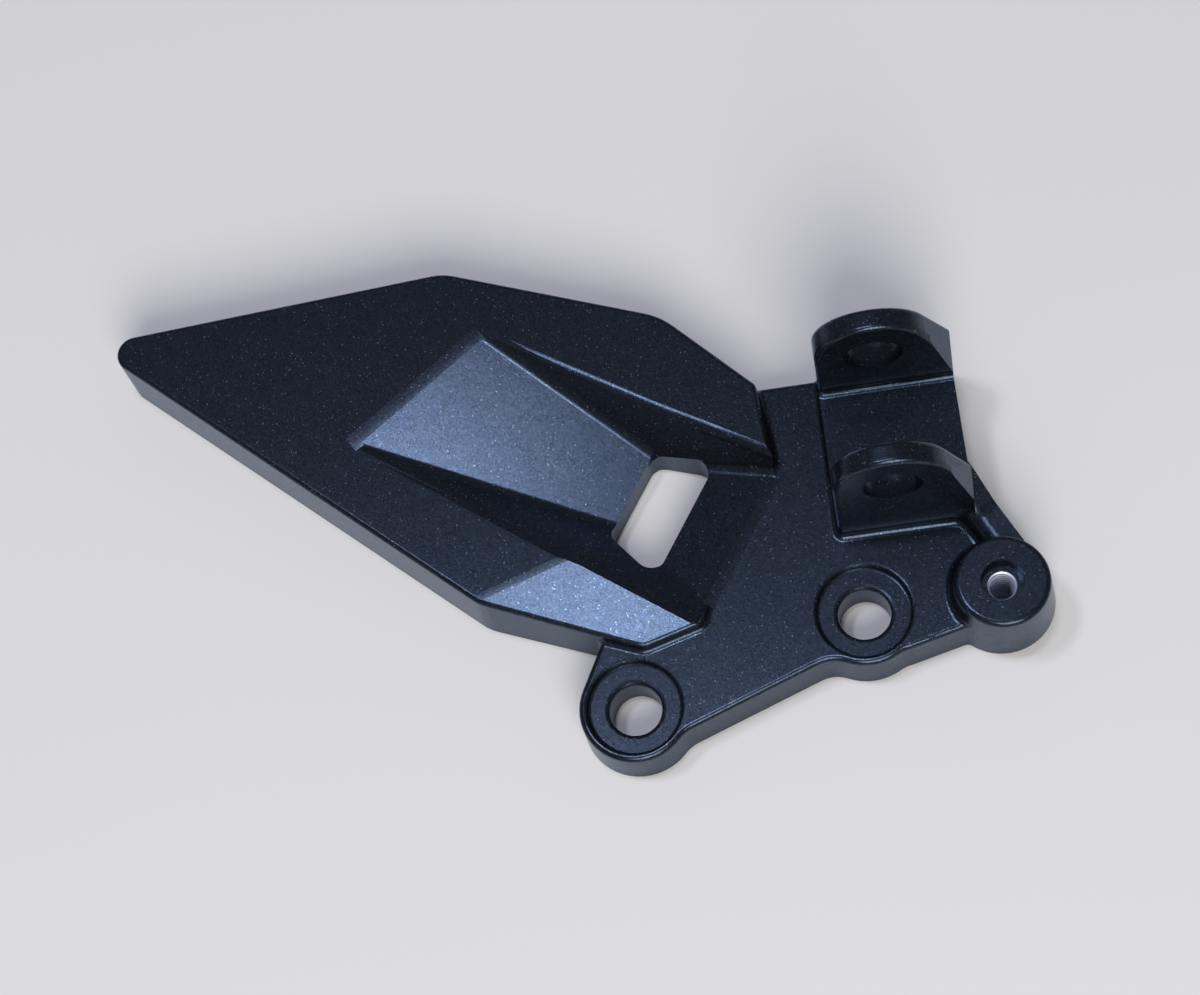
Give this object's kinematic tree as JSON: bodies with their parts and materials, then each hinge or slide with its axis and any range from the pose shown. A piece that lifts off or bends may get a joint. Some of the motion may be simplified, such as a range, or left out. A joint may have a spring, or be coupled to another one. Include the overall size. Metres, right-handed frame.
{
  "type": "motorcycle footrest hanger",
  "caption": "Cast footrest hanger with a heel guard, a clevis for a folding footrest, counterbored bolt bores and a threaded boss, in a black coat.",
  "frame": {"origin": "axis of the first bolt bore, beside the heel guard, at the rear mounting face", "axes": "+Z out of the rear mounting face towards the rider's side, +Y along the footrest pin, +X from the heel guard towards the threaded boss"},
  "size_m": [0.163, 0.0962, 0.039],
  "materials": {
    "black_coat": "black satin coat with a fine sparkle on cast aluminium"
  },
  "bodies": {
    "root": {"hanger_casting": "black_coat"}
  },
  "joints": []
}
